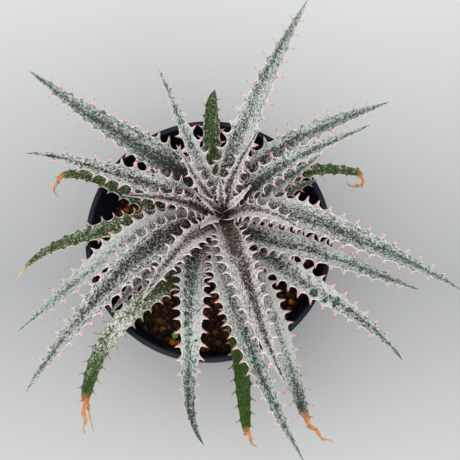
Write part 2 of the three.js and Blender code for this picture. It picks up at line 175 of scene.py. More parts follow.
# ---- Pot --------------------------------------------------------------------
# A round nursery pot, injection moulded in one piece from dark plastic: a thin
# tapered wall, a flat turned-over lip, and drain slots where wall meets floor.
POT_HEIGHT = 90 * MM
RIM_RADIUS = 52.5 * MM
RIM_BAND = 2.5 * MM
LIP_DEPTH = 8 * MM
FOOT_RADIUS = 38 * MM
POT_WALL = 1.2 * MM
POT_FLOOR = 2.2 * MM
DRAIN_SLOTS = 6
DRAIN_WIDTH = 9 * MM
DRAIN_DEPTH = 5 * MM
DRAIN_HEIGHT = 3.5 * MM
# the ring that the pot stands on, its sloped inner edge, and the hollow inside it
FOOT_RING = 6 * MM
FOOT_SLOPE = 1 * MM
FOOT_HOLLOW = 0.6 * MM
# radius of the moulded edge at each corner of the profile, in millimetres
POT_EDGES = (0, 0.4, 0.4, 1.0, 0.5, 0.4, 0.9, 1.1, 1.2, 0)
POT_SEGMENTS = 192
SHARP_EDGE = math.radians(40)


def inner_wall(z):
    """Inside radius of the pot at height z."""
    slope = (RIM_RADIUS - RIM_BAND - FOOT_RADIUS + POT_WALL) / (POT_HEIGHT - POT_FLOOR)
    return FOOT_RADIUS - POT_WALL + slope * (z - POT_FLOOR)


def rounded(corner_points, radii, steps=5):
    """The outline with each corner replaced by an arc of its own radius."""
    outline = []
    for i, corner in enumerate(corner_points):
        corner = np.array(corner)
        before = np.array(corner_points[i - 1]) if i else corner
        after = np.array(corner_points[i + 1]) if i + 1 < len(corner_points) else corner
        if radii[i] == 0:
            outline.append(tuple(corner))
            continue
        back = (before - corner) / np.linalg.norm(before - corner)
        ahead = (after - corner) / np.linalg.norm(after - corner)
        for step in range(steps + 1):
            t = step / steps
            weights = ((1 - t) ** 2, t**2)
            outline.append(tuple(corner + radii[i] * (weights[0] * back + weights[1] * ahead)))
    return outline


def turned(profile, segments):
    """Vertices and faces of an (r, z) profile turned about +Z, starting and ending on the axis."""
    inner = profile[1:-1]
    vertices = [(0, 0, profile[0][1])]
    for r, z in inner:
        for k in range(segments):
            angle = 2 * math.pi * k / segments
            vertices.append((r * math.cos(angle), r * math.sin(angle), z))
    vertices.append((0, 0, profile[-1][1]))
    faces = []
    last = len(vertices) - 1
    for k in range(segments):
        after = (k + 1) % segments
        faces.append((0, 1 + after, 1 + k))
        for i in range(len(inner) - 1):
            a = 1 + i * segments
            faces.append((a + k, a + after, a + segments + after, a + segments + k))
        a = 1 + (len(inner) - 1) * segments
        faces.append((a + k, a + after, last))
    return vertices, faces


def ramp(value, low, high, to_low=0.0, to_high=1.0):
    """value eased from to_low at low to to_high at high."""
    inputs = {"Value": value, "From Min": low, "From Max": high, "To Min": to_low, "To Max": to_high}
    eased = add_node(value.id_data, "ShaderNodeMapRange", inputs, interpolation_type="SMOOTHSTEP")
    return eased.outputs["Result"]


def math_node(operation, *values, clamp=False):
    """The result of one Math node."""
    tree = next(value.id_data for value in values if isinstance(value, bpy.types.NodeSocket))
    made = add_node(tree, "ShaderNodeMath", dict(enumerate(values)), operation=operation, use_clamp=clamp)
    return made.outputs[0]


def add_bump(shader, height, strength, distance, **settings):
    """Feeds a height to the shader as fine relief."""
    inputs = {"Height": height, "Strength": strength, "Distance": distance}
    bump = add_node(shader.id_data, "ShaderNodeBump", inputs, **settings)
    feed(shader, "Normal", bump.outputs["Normal"])


def new_piece(name, vertices, faces, material, slot, *nodes):
    """A mesh object in the shared frame that rides on the part and stands for the CAD nodes."""
    mesh = bpy.data.meshes.new(name)
    mesh.from_pydata([tuple(v) for v in vertices], [], [tuple(f) for f in faces])
    mesh.validate()
    mesh.shade_smooth()
    piece = bpy.data.objects.new(name, mesh)
    bpy.context.scene.collection.objects.link(piece)
    mesh.materials.append(material)
    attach(piece, "root")
    if nodes:
        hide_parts(*nodes)
    return piece


lip_foot = POT_HEIGHT - LIP_DEPTH
pot_corners = [
    (0, FOOT_HOLLOW),
    (FOOT_RADIUS - FOOT_RING - FOOT_SLOPE, FOOT_HOLLOW),
    (FOOT_RADIUS - FOOT_RING, 0),
    (FOOT_RADIUS, 0),
    (inner_wall(lip_foot) + POT_WALL, lip_foot),
    (RIM_RADIUS - 0.4 * MM, lip_foot),
    (RIM_RADIUS, POT_HEIGHT),
    (RIM_RADIUS - RIM_BAND, POT_HEIGHT),
    (inner_wall(POT_FLOOR), POT_FLOOR),
    (0, POT_FLOOR),
]
pot_profile = rounded(pot_corners, [radius * MM for radius in POT_EDGES])
pot_vertices, pot_faces = turned(pot_profile, POT_SEGMENTS)

pot_plastic, tree, shader = new_material("dark_moulded_plastic", Specular_IOR_Level=0.2)
place = own_place(tree)
cloud = noise(place, 60.0, 4.0)
scuffs = noise(mapped(place, (1.0, 1.0, 0.12)), 1400.0, 2.0, 0.7)
dust = math_node("MULTIPLY", ramp(cloud, 0.45, 0.75), ramp(scuffs, 0.5, 0.75))
charcoal = mix_colours(ramp(cloud, 0.3, 0.7), "#0b141d", "#111c27")
dusty = mix_colours(math_node("MULTIPLY", dust, 0.2), charcoal, "#56544f")
feed(shader, "Base Color", dusty)
feed(shader, "Roughness", ramp(scuffs, 0.35, 0.7, 0.36, 0.5))
add_bump(shader, noise(place, 2600.0, 2.0), 0.12, 0.2 * MM)

pot = new_piece("nursery_pot", pot_vertices, pot_faces, pot_plastic, "pot", "pot")
cutters = []
for k in range(DRAIN_SLOTS):
    angle = 2 * math.pi * (k + 0.5) / DRAIN_SLOTS
    bpy.ops.mesh.primitive_cube_add(size=1)
    cutter = bpy.context.object
    cutter.scale = (2 * DRAIN_DEPTH, DRAIN_WIDTH, 2 * DRAIN_HEIGHT)
    cutter.location = (FOOT_RADIUS * math.cos(angle), FOOT_RADIUS * math.sin(angle), 0)
    cutter.rotation_euler = (0, 0, angle)
    cut = pot.modifiers.new("drain_slot", "BOOLEAN")
    cut.operation = "DIFFERENCE"
    cut.solver = "EXACT"
    cut.object = cutter
    cutters.append(cutter)
bpy.context.view_layer.update()
shaped = bpy.data.meshes.new_from_object(pot.evaluated_get(bpy.context.evaluated_depsgraph_get()))
pot.modifiers.clear()
pot.data = shaped
shaped.materials.clear()
shaped.materials.append(pot_plastic)
shaped.set_sharp_from_angle(angle=SHARP_EDGE)
for cutter in cutters:
    bpy.data.objects.remove(cutter)


# ---- Soil -------------------------------------------------------------------
# Loose baked clay granules, 2 to 3 mm, poured in to well under the lip. They
# run from dark damp brown to orange, with black gaps between them.
SOIL_LEVEL = 68 * MM
STEM_X = 6 * MM
STEM_Y = 7 * MM
STEM_RADIUS = 9 * MM
GRAIN_SIZES = (1.0 * MM, 1.65 * MM)
GRAIN_STRETCH = [(0.85, 1.2), (0.85, 1.2), (0.75, 1.0)]
GRAIN_LUMPS = (0.03, 0.12)
GRAIN_REACH = 1.25
GRAIN_SPACING = 2.35 * MM
SOIL_CLEARANCE = 0.35 * MM
# the layers of granules, as (distance from the wall, spacing, number of tries to
# place one, height over the soil's level, unevenness)
GRAIN_LAYERS = [
    (1.2 * MM, GRAIN_SPACING, 26000, -0.6 * MM, 0.7 * MM),
    (1.5 * MM, 1.5 * GRAIN_SPACING, 9000, 0.7 * MM, 0.5 * MM),
]
ORANGE_GRAIN = np.array([35.8, -22.5, 69.6]) * MM
BED_DEPTH = 1.2 * MM
BED_BUMPS = 0.5 * MM
SOIL_SEED = 11

draw = random.Random(SOIL_SEED)


def ball(subdivisions):
    """Unit vertices and faces of an icosphere."""
    made = bmesh.new()
    bmesh.ops.create_icosphere(made, subdivisions=subdivisions, radius=1.0)
    made.verts.ensure_lookup_table()
    vertices = np.array([v.co[:] for v in made.verts])
    faces = np.array([[v.index for v in f.verts] for f in made.faces])
    made.free()
    return vertices, faces


def scattered(radius, spacing, tries):
    """Points strewn over a disc, no two nearer than the spacing and none in the stem."""
    cells = {}
    points = []
    for _ in range(tries):
        reach = radius * math.sqrt(draw.random())
        angle = 2 * math.pi * draw.random()
        x, y = reach * math.cos(angle), reach * math.sin(angle)
        if math.hypot(x - STEM_X, y - STEM_Y) < STEM_RADIUS + 0.5 * MM:
            continue
        cell = (int(x // spacing), int(y // spacing))
        near = [p for i in (-1, 0, 1) for j in (-1, 0, 1) for p in cells.get((cell[0] + i, cell[1] + j), [])]
        if all(math.hypot(x - p[0], y - p[1]) >= spacing for p in near):
            cells.setdefault(cell, []).append((x, y))
            points.append((x, y))
    return points


def granules(places, level, uneven):
    """Vertices, faces and a tone for each vertex, for one layer of granules."""
    unit, unit_faces = ball(2)
    vertices, faces, tones = [], [], []
    for x, y in places:
        size = draw.uniform(*GRAIN_SIZES)
        tone = draw.random()
        stretch = np.array([draw.uniform(*limits) for limits in GRAIN_STRETCH])
        swell = np.ones(len(unit))
        for _ in range(4):
            direction = np.array([draw.gauss(0, 1) for _ in range(3)])
            height = draw.uniform(*GRAIN_LUMPS)
            swell += height * np.tanh(2.5 * unit @ (direction / np.linalg.norm(direction)))
        limit = inner_wall(level) - SOIL_CLEARANCE - size * GRAIN_REACH
        shrink = min(1.0, limit / max(math.hypot(x, y), 1e-6))
        centre = np.array([x * shrink, y * shrink, level + uneven * draw.uniform(-1, 1)])
        faces.append(unit_faces + len(vertices) * len(unit))
        vertices.append(unit * swell[:, None] * stretch * size + centre)
        tones += [tone] * len(unit)
    return np.vstack(vertices), np.vstack(faces), tones


def set_values(piece, name, values):
    """Stores a number or a vector for each vertex on the piece's mesh, for its material to read."""
    kind, field = ("FLOAT", "value") if np.ndim(values) == 1 else ("FLOAT_VECTOR", "vector")
    stored = piece.data.attributes.new(name, kind, "POINT")
    stored.data.foreach_set(field, np.asarray(values, dtype=np.float32).ravel())


def painted(tree, name, part="Fac"):
    """What set_values has stored, as a socket."""
    return add_node(tree, "ShaderNodeAttribute", attribute_name=name).outputs[part]


soil_radius = inner_wall(SOIL_LEVEL) - SOIL_CLEARANCE
strewn = [scattered(soil_radius - inset, spacing, tries) for inset, spacing, tries, *_ in GRAIN_LAYERS]
layers = [
    granules(places, SOIL_LEVEL + rise, uneven)
    for places, (*_, rise, uneven) in zip(strewn, GRAIN_LAYERS)
]
grain_vertices = np.vstack([layers[0][0], layers[1][0]])
grain_faces = np.vstack([layers[0][1], layers[1][1] + len(layers[0][0])])
grain_tones = np.array(layers[0][2] + layers[1][2])
corner_count = len(ball(2)[0])
centres = grain_vertices.reshape(-1, corner_count, 3).mean(axis=1)
brightest = int(np.argmin(np.linalg.norm(centres - ORANGE_GRAIN, axis=1)))
grain_tones[brightest * corner_count : (brightest + 1) * corner_count] = 1.0

baked_clay, tree, shader = new_material("baked_clay_granules", Roughness=0.85, Specular_IOR_Level=0.25)
place = own_place(tree)
tone = painted(tree, "tone")
mottle = noise(place, 700.0, 4.0, 0.6)
clay = mix_colours(ramp(tone, 0.2, 0.9), "#1c130c", "#6c431c")
clay = mix_colours(ramp(tone, 0.88, 1.0), clay, "#c98227")
clay = mix_colours(ramp(mottle, 0.46, 0.66, 0.0, 0.8), clay, "#1a110a")
feed(shader, "Base Color", clay)
add_bump(shader, noise(place, 2200.0, 4.0, 0.7), 0.5, 0.4 * MM)

soil_top = new_piece("soil_granules", grain_vertices, grain_faces, baked_clay, "soil")
set_values(soil_top, "tone", grain_tones)

bed_top = SOIL_LEVEL - BED_DEPTH
bed_low = POT_FLOOR + SOIL_CLEARANCE
bed_profile = [(0, bed_low), (inner_wall(bed_low) - SOIL_CLEARANCE, bed_low)]
bed_profile += [(r * (inner_wall(bed_top) - SOIL_CLEARANCE), bed_top) for r in np.linspace(1.0, 0.02, 50)]
bed_profile.append((0, bed_top))
bed_vertices, bed_faces = turned(bed_profile, 96)
bed_vertices = [
    (x, y, z + BED_BUMPS * math.sin(2100 * x + 900 * y) * math.cos(1900 * y - 700 * x) if z >= bed_top else z)
    for x, y, z in bed_vertices
]
packed_clay, tree, shader = new_material("packed_clay_and_dust", Roughness=0.95)
place = own_place(tree)
# painted shade: the packed clay darkens to near black in the hollows between its crumbs, where the bump sinks
# it
crumb = add_node(tree, "ShaderNodeTexVoronoi", {"Vector": place, "Scale": 420.0})
shaded_hollow = ramp(crumb.outputs["Distance"], 0.1, 0.6)
feed(shader, "Base Color", mix_colours(shaded_hollow, "#4a2a12", "#120a05"))
add_bump(shader, shaded_hollow, 0.9, 1.2 * MM, invert=True)
new_piece("soil_fill", bed_vertices, bed_faces, packed_clay, "soil", "soil")


# ---- Stem -------------------------------------------------------------------
# The short stout stem inside the rosette, woody and brown, ringed with the scars
# of fallen leaves.
STEM_TOP = 100
SCAR_DEPTH = 0.25
SCAR_STEP = 0.75
# (height, radius) in millimetres, up to the growing point
STEM_PROFILE = [(68, 9), (84, 9), (100, 6), (110, 2.8), (116, 1.2)]
# (radius, height) of the foot in the soil, and of the end under the youngest leaves
STEM_FOOT = [(0, 56), (6.5, 56), (9, 58.5)]
STEM_END = [(1.2, STEM_TOP + 0.8), (0, STEM_TOP + 1.2)]


def between(table, place):
    """The value of a table of (place, value) rows at any place, in straight lines between rows."""
    return np.interp(place, *zip(*table))


bark, tree, shader = new_material("scarred_bark", Roughness=0.9, Specular_IOR_Level=0.2)
place = own_place(tree)
ridges = noise(mapped(place, (1.0, 1.0, 3.0)), 300.0, 4.0, 0.6)
feed(shader, "Base Color", mix_colours(ridges, "#2c2018", "#6b5748"))
add_bump(shader, ridges, 0.8, 0.8 * MM)
heights = np.arange(60, STEM_TOP, SCAR_STEP)
scarred = [(between(STEM_PROFILE, z) + SCAR_DEPTH * (math.sin(z * 2.1) - 1), z) for z in heights]
stem_rings = [(r * MM, z * MM) for r, z in STEM_FOOT + scarred + STEM_END]
stem_vertices, stem_faces = turned(stem_rings, 48)
stem_vertices = [(x + STEM_X, y + STEM_Y, z) for x, y, z in stem_vertices]
new_piece("stem_core", stem_vertices, stem_faces, bark, "stem", "stem")


# ---- Leaves -----------------------------------------------------------------
# Thirty-three stiff succulent leaves in a spiral, each grown in one piece with the
# hooked teeth along its margins. A felt of silver scales covers the green skin,
# thinnest on the oldest leaves, whose tips have withered to orange straw.
CHANNEL = 0.4
CHANNEL_CURVE = 1.4
TOP_BULGE = 0.35
ROOT_WIDTH = 0.76
WIDEST = (0.22, 0.3)
TAPER = 1.5
TIP_WIDTH = 0.07
DRY_WIDTHS = [(0, 0.36), (0.25, 0.24), (0.6, 0.16), (1, 0.09)]
LEAF_THICKNESS = (2.3, 1.0)
MARGIN_THICKNESS = 0.7
TOOTH_LENGTH = 3.7
# along the leaf, as (part of the length, value): distance between teeth seen from
# above, their size and forward lean, and the half width and depth of the scallops
TOOTH_PITCH = [(0.03, 3.4), (0.15, 3.9), (0.3, 4.4), (0.5, 5.2), (0.8, 5.6), (1.0, 4.6)]
TOOTH_SIZE = [(0, 0.8), (0.25, 0.98), (0.5, 0.92), (0.8, 0.68), (1.0, 0.4)]
TOOTH_LEAN = [(0, -0.1), (0.3, 0.05), (0.6, 0.3), (1.0, 0.5)]
SCALLOP_WIDTH = [(0, 4.0), (0.55, 3.2), (0.8, 2.2), (1.0, 1.2)]
SCALLOP_SHARE = [(0, 0.7), (0.35, 0.66), (0.6, 0.45), (1.0, 0.25)]
TOOTH_WAIST = 0.46
# the part of a leaf where its teeth end, and how much smaller they are on green
# leaves and on those that are shorter than a small leaf
TOOTH_END = 0.91
FIRST_TOOTH = 1.5
HAND_OFFSET = 1.6
GREEN_TOOTH = 0.85
SMALL_LEAF = 30
SMALL_TOOTH = 0.28
ROUND_SIDES = 8
SHEATH_DEPTH = 8
SHEATH_SPREAD = 62
SHEATH_THICKNESS = 1.0
SHEATH_LAYER = 0.012
SHEATH_STEPS = 9
HEART_ROOT = 102.8
HEART_SINK = 4
RIB_STEPS = 160
SECTION_STEP = 0.6
# faint waves along the blade, as (height, length for one radian)
BLADE_WAVES = [(0.1, 6.5), (0.06, 3.1)]
POINT_FROM = 0.96
DRY_SWAY = 0.45
STRAND_WIDTH = 0.75
STRAND_THICKNESS = 0.35
# third number of the felt pattern's place: one layer for each leaf and one for its top
LEAF_LAYER = 9.0
TOP_LAYER = 4
FELT_PLACES = (0.3, 0.55, 0.8)
LEAF_SEED = 100

GREEN, SILVER, YOUNG = "leaf_green", "leaf_silver", "leaf_young"
# what holds for a leaf wherever its own row says nothing
PLAIN_LEAF = dict(blunt=TAPER, dry=0, hook=0, droop=0, split=0, felt=0, lean=0, ruddy=0, bare=0,
                  dark_teeth=0, cream=2, brown=2)
# root height, bearing at four places, slope at three, length and width, then what
# sets a leaf apart: a blunter end, the dry share of its length with the hook and
# droop of that part, a second strand, more or less felt all over or at its root,
# middle and outer part, how far the bare middle leans to the right margin, how
# much further out the brown of the root reaches, bare patches, and where a cream
# or brown tip begins
LEAVES = [
    (GREEN, 78, (168, 157, 163, 231), (30, 10, -14), 76, 6.4,
     dict(blunt=2.6, dry=0.17, hook=79, droop=-30, felt=-0.2)),
    (GREEN, 84.5, (27, 25, 23, 18), (34, 10, -6), 36, 6, dict(felt=0.05)),
    (GREEN, 82, (167, 197, 200, 245), (34, 8, -24), 89, 7.5, dict(felt=-0.08, cream=0.88)),
    (GREEN, 80, (-88, -80, -86, -73), (30, 3, -34), 92, 7,
     dict(blunt=3, dry=0.14, hook=35, droop=-20, felt=-0.6, bare=1, dark_teeth=1)),
    (GREEN, 81, (115, 86, 91, 69), (40, 18, 4), 52, 7, dict(blunt=6, felt=-0.22, brown=0.94)),
    (GREEN, 82, (-118, -140, -117, -92), (38, 8, -30), 106, 8,
     dict(blunt=2.5, dry=0.17, hook=4, droop=-10, split=12,
          felt=(-0.25, 0.65, -0.45), ruddy=0.2, bare=1, dark_teeth=0.55)),
    (GREEN, 88, (28, 26, -5, 6), (40, 14, -10), 69, 5,
     dict(blunt=3, dry=0.2, hook=-279, droop=-25, felt=-0.2)),
    (SILVER, 84, (-59, -69, -74, -65), (42, 8, -24), 102, 7.8,
     dict(blunt=2.2, dry=0.2, hook=50, droop=-10, felt=(0.3, 0.38, -0.4), dark_teeth=0.3)),
    (SILVER, 86, (-184, -145, -137, -142), (46, 12, -8), 95, 9.6, dict(felt=(0.3, 0.4, 0.2))),
    (SILVER, 87, (126, 151, 148, 143), (48, 16, 2), 97, 12,
     dict(blunt=1.3, felt=(-0.34, -0.13, -0.06), lean=-0.15, ruddy=-0.1)),
    (SILVER, 87, (-133, -90, -92, -51), (46, 10, -22), 96, 9.4,
     dict(bare=0.4, felt=(0, 0.38, -0.35), lean=0.2)),
    (SILVER, 88, (-44, -39, -35, -55), (48, 12, -14), 91, 9.4,
     dict(bare=0.4, brown=0.93, felt=(-0.04, 0.26, -0.05), ruddy=0.35)),
    (SILVER, 89, (65, 33, 20, 19), (48, 18, 6), 82.5, 9, dict(felt=-0.06, lean=0.1)),
    (SILVER, 93.5, (28, 27, 31, 39), (50, 26, 15), 44, 6.5, dict(bare=0.6)),
    (SILVER, 92.5, (-32, -22, -23, -16), (50, 16, -6), 83, 9, dict(brown=0.95, felt=0.05, ruddy=0.1)),
    (SILVER, 92, (148, 169, 166, 183), (54, 20, 6), 82, 8.4,
     dict(brown=0.98, felt=-0.06, lean=-0.1, ruddy=0.8)),
    (SILVER, 93, (-161, -134, -127, -121), (54, 20, 0), 110, 10.8,
     dict(felt=(-0.2, -0.08, 0), lean=0.15, ruddy=0.4)),
    (SILVER, 94, (-94, -75, -68, -58), (54, 20, -8), 110, 9.2, dict(felt=(0.25, -0.06, -0.05))),
    (SILVER, 97.5, (7, -26, -28, -34), (56, 20, -2), 104, 11.2, dict(blunt=1.35, felt=(0.12, -0.1, -0.02))),
    (SILVER, 96, (83, 66, 62, 59), (58, 29, 13), 92.5, 9.6, dict(felt=(0.08, 0.2, 0), lean=-0.3)),
    (SILVER, 102.5, (40, 26, 18, 21), (60, 32, 18), 70, 7.2,
     dict(blunt=1.4, bare=0.6, felt=(-0.28, 0.06, 0), lean=0.2)),
    (SILVER, 99.5, (114, 120, 115, 119), (63, 38, 22), 66, 5.6, dict(cream=0.94, felt=0.12)),
    (YOUNG, 99, (165, 178, 184, 187), (65, 42, 28), 45, 5, dict(felt=-0.28)),
    (YOUNG, 100, (-136, -127, -120, -118), (62, 42, 28), 62, 7.6,
     dict(cream=0.9, felt=(0.05, -0.12, -0.12), lean=0.1)),
    (YOUNG, 106, (-3, -24, -34, -38), (66, 44, 28), 44, 5.6, dict(felt=(0, 0.1, 0.1), lean=-0.35)),
    (YOUNG, 103, (-77, -75, -74, -63), (62, 38, 24), 95, 10.6, dict(felt=(-0.16, -0.14, -0.02), lean=-0.16)),
    (YOUNG, 106, (74, 59, 53, 51), (72, 57, 44), 42, 4.8, dict(lean=-0.15)),
    (YOUNG, 104, (137, 135, 130, 125), (72, 60, 46), 40, 4.2, dict(lean=0.1)),
    (YOUNG, 108, (-136, -128, -122, -115), (76, 62, 50), 20, 4.2, dict(felt=0.45)),
    (YOUNG, 110.5, (158, 155, 152, 149), (70, 50, 34), 13, 3.6, {}),
    (YOUNG, 112, (24, 32, 40, 48), (66, 46, 30), 15, 2.8, dict(felt=0.45)),
    (YOUNG, 115, (98, 96, 94, 92), (72, 54, 38), 13, 3.6, {}),
    (SILVER, 82, (-152, -141, -131, -131), (34, 13, 0), 54.5, 6.6, dict(felt=-0.05)),
]

# glossy green spots where the felt has been rubbed off, as (leaf, part of its length,
# across it in half widths, and half the size along and across in millimetres)
BARE_SPOTS = [
    (12, 0.517, 0.52, 1.6, 1.9), (12, 0.573, 0.6, 0.8, 1.5), (12, 0.617, 0.06, 1.1, 2.4),
    (12, 0.583, -0.1, 0.6, 0.7), (12, 0.68, 0, 0.7, 0.8), (12, 0.48, 0.1, 0.5, 0.5),
    (12, 0.46, -0.5, 0.5, 0.5), (11, 0.443, 0.5, 1.1, 0.9), (11, 0.49, 0.5, 1.3, 0.8),
    (11, 0.533, 0.05, 0.7, 0.7), (11, 0.557, -0.5, 0.8, 0.7),
]


def through(values, s):
    """Value at s of the polynomial through evenly spaced values."""
    n = len(values) - 1
    total = np.zeros_like(s)
    for i, value in enumerate(values):
        weight = np.ones_like(s)
        for j in range(n + 1):
            if j != i:
                weight = weight * (s * n - j) / (i - j)
        total = total + value * weight
    return total


def xyz(*parts):
    """Points, or values for points, from three parts, any of which may be a single number."""
    return np.stack(np.broadcast_arrays(*parts), axis=-1)


class Leaf:
    """One leaf's form along its midrib, in millimetres."""

    def __init__(self, number):
        row = LEAVES[number - 1]
        self.kind, self.root, self.heading, self.rise, self.length, self.width, extra = row
        self.number = number
        self.layer = LEAF_LAYER * number
        for name, value in {**PLAIN_LEAF, **extra}.items():
            setattr(self, name, value)
        self.rib = self.midrib()

    def dry_share(self, s):
        return np.clip((s - 1 + self.dry) / self.dry, 0, 1) if self.dry else np.zeros_like(s)

    def bearing(self, s):
        turn = self.dry_share(s)
        heading = np.radians(through(self.heading, s) + self.hook * turn)
        return heading, np.radians(through(self.rise, s) + self.droop * turn)

    def midrib(self):
        heading, rise = self.bearing(0.0)
        radius = between(STEM_PROFILE, self.root - np.cos(rise)) + 0.35 + np.sin(rise)
        start = np.array([STEM_X / MM, STEM_Y / MM, self.root])
        start[:2] += radius * np.array([np.cos(heading), np.sin(heading)])
        middles = (np.arange(RIB_STEPS) + 0.5) / RIB_STEPS
        steps = self.forward(middles) * self.length / RIB_STEPS
        return np.vstack([start, start + np.cumsum(steps, axis=0)])

    def forward(self, s, turn=0.0):
        heading, rise = self.bearing(s)
        heading = heading + turn
        level = np.cos(rise)
        return xyz(level * np.cos(heading), level * np.sin(heading), np.sin(rise))

    def frame(self, s):
        """Points on the midrib with their forward, sideways and upward directions."""
        at = np.clip(s, 0, 1) * RIB_STEPS
        point = xyz(*[np.interp(at, np.arange(RIB_STEPS + 1), line) for line in self.rib.T])
        heading, _ = self.bearing(s)
        forward = self.forward(s)
        side = xyz(np.sin(heading), -np.cos(heading), 0)
        return point, forward, side, np.cross(side, forward)

    def half_width(self, s):
        full, narrows = WIDEST
        rooted = ROOT_WIDTH + (1 - ROOT_WIDTH) * np.clip(s / full, 0, 1)
        outward = np.clip(s - narrows, 0, None) / (1 - narrows)
        tapered = 1 - (1 - TIP_WIDTH) * outward**self.blunt
        share = np.where(s < narrows, rooted, tapered)
        if self.dry:
            withered = self.dry_share(s)
            shrink = np.clip((s - 1 + self.dry) / 0.05, 0, 1)
            ragged = 1 + 0.22 * np.sin(s * self.length * 1.7) * np.clip(withered * 6, 0, 1)
            straw = between(DRY_WIDTHS, withered) * ragged
            share = share * (1 - shrink) + np.minimum(share, straw) * shrink
        return np.maximum(share * self.width / 2, 0.3)

    def thickness(self, s):
        root, tip = LEAF_THICKNESS
        slim = 0.8 if self.width < 6 else 1.0
        return np.maximum((root + (tip - root) * s) * slim, 0.7)


class Skin:
    """The points, faces and painted values of a leaf while it is built."""

    def __init__(self):
        self.points, self.faces, self.place, self.cloth, self.tooth = [], [], [], [], []
        self.count = 0

    def add(self, points, faces, place, cloth, tooth):
        self.faces += [tuple(i + self.count for i in face) for face in faces]
        stores = (self.points, self.place, self.cloth, self.tooth)
        for store, values in zip(stores, (points, place, cloth, tooth)):
            store.append(np.asarray(values, dtype=float))
        self.count += len(points)


def tube_faces(rings, size):
    """Faces that join equal rings, with both ends closed."""
    faces = []
    for i in range(rings - 1):
        for j in range(size):
            a, b = i * size + j, i * size + (j + 1) % size
            faces.append((a, b, b + size, a + size))
    last = (rings - 1) * size
    faces.append(tuple(range(size - 1, -1, -1)))
    faces.append(tuple(last + j for j in range(size)))
    return faces


TOP_ACROSS = [-1.0, -0.93, -0.8, -0.6, -0.35, -0.12, 0.12, 0.35, 0.6, 0.8, 0.93, 1.0]
UNDER_ACROSS = [0.96, 0.8, 0.5, 0.17, -0.17, -0.5, -0.8, -0.96]
ACROSS = np.array(TOP_ACROSS + UNDER_ACROSS)
IS_TOP = np.array([1.0] * len(TOP_ACROSS) + [0.0] * len(UNDER_ACROSS))


def blade_section(leaf, s, draw):
    """The blade's cross-sections at s: a channelled top, thin margins and a keel below."""
    point, _, side, up = leaf.frame(s)
    withered = leaf.dry_share(s)[:, None]
    point = point + side * DRY_SWAY * np.sin(s * leaf.length * 0.8)[:, None] * np.clip(4 * withered, 0, 1)
    half = leaf.half_width(s)
    narrow = 1 - 0.7 * np.clip((s - POINT_FROM) / (1 - POINT_FROM), 0, 1)
    deep = leaf.thickness(s) * narrow
    waves = [(height, span, draw.uniform(0, 6.28)) for height, span in BLADE_WAVES]
    ripple = sum(height * np.sin(s * leaf.length / span + phase) for height, span, phase in waves)
    width = np.abs(ACROSS)
    lift = CHANNEL * half[:, None] * width**CHANNEL_CURVE
    edge = MARGIN_THICKNESS / 2 * narrow[:, None]
    top = TOP_BULGE * deep[:, None] * (1 - width**2) + 0.8 * edge * width**2
    under = (TOP_BULGE - 1) * deep[:, None] * (1 - width**2.2) - edge * width**2.2
    skin_height = np.where(IS_TOP > 0, top, under) * (width < 0.999)
    shift = ACROSS * (half * narrow)[:, None]
    height = lift + skin_height + ripple[:, None] * width**2 * np.sign(ACROSS)
    return point[:, None] + side[:, None] * shift[..., None] + up[:, None] * height[..., None]


def add_blade(skin, leaf, draw):
    """The blade, with the sheath at its foot that wraps the stem."""
    s = np.linspace(0, 1, max(24, int(leaf.length / SECTION_STEP)))
    sections = blade_section(leaf, s, draw)
    heading, _ = leaf.bearing(0.0)
    layer = SHEATH_LAYER * (len(LEAVES) - leaf.number)
    to_axis = np.array([STEM_X / MM, STEM_Y / MM, 0]) - leaf.rib[0] * (1, 1, 0)
    wrapped, sheath_s = [], []
    for t in np.linspace(0, 1, SHEATH_STEPS, endpoint=False):
        sheath_s.append(-(1 - t) * SHEATH_DEPTH / leaf.length)
        if leaf.root > HEART_ROOT:
            centre = leaf.rib[0] + to_axis * (1 - t) - np.array([0, 0, HEART_SINK * (1 - t) ** 2])
            flare = 0.85 + 0.15 * t + 0.35 * math.sin(math.pi * t)
            if leaf.length < SMALL_LEAF:
                flare = 0.4 + 0.6 * t
            wrapped.append((sections[0] - leaf.rib[0]) * flare + centre)
            continue
        z = leaf.root - SHEATH_DEPTH * (1 - t)
        bare = between(STEM_PROFILE, z) + 0.15 + layer
        radius = bare + np.where(IS_TOP > 0, 0.0, SHEATH_THICKNESS) * (1 - np.abs(ACROSS) ** 4)
        angle = heading - ACROSS * math.radians(SHEATH_SPREAD)
        sheath = xyz(STEM_X / MM + radius * np.cos(angle), STEM_Y / MM + radius * np.sin(angle), z)
        share = t * t * (3 - 2 * t)
        wrapped.append(sheath * (1 - share) + sections[0] * share)
    points = np.concatenate([np.stack(wrapped), sections])
    s = np.concatenate([sheath_s, s])
    half = leaf.half_width(s)
    place = xyz(ACROSS, s[:, None], IS_TOP)
    cloth = xyz(ACROSS * half[:, None], s[:, None] * leaf.length, leaf.layer + TOP_LAYER * IS_TOP)
    points, place, cloth = (values.reshape(-1, 3) for values in (points, place, cloth))
    skin.add(points, tube_faces(len(s), len(ACROSS)), place, cloth, np.zeros_like(place))


def tooth_places(leaf, hand, draw):
    """Where the teeth stand along one margin, as (s, pitch): crowded at the root, wider apart outwards."""
    end = min(TOOTH_END, leaf.cream - 0.02) * leaf.length
    at = 0.05 * leaf.length + FIRST_TOOTH + (HAND_OFFSET if hand > 0 else 0.0)
    small = min(1.0, 0.55 + leaf.length / 160)
    places = []
    while at < end:
        share = at / leaf.length
        _, slope = leaf.bearing(share)
        pitch = small * between(TOOTH_PITCH, share) / max(math.cos(slope), 0.6)
        places.append((share, pitch))
        at += pitch * draw.uniform(0.88, 1.12)
    return places


def round_ring(centre, across, wide, up, thick):
    """Points around the centre, in an oval."""
    angles = [2 * math.pi * k / ROUND_SIDES for k in range(ROUND_SIDES)]
    return [centre + across * wide * math.cos(angle) + up * thick * math.sin(angle) for angle in angles]


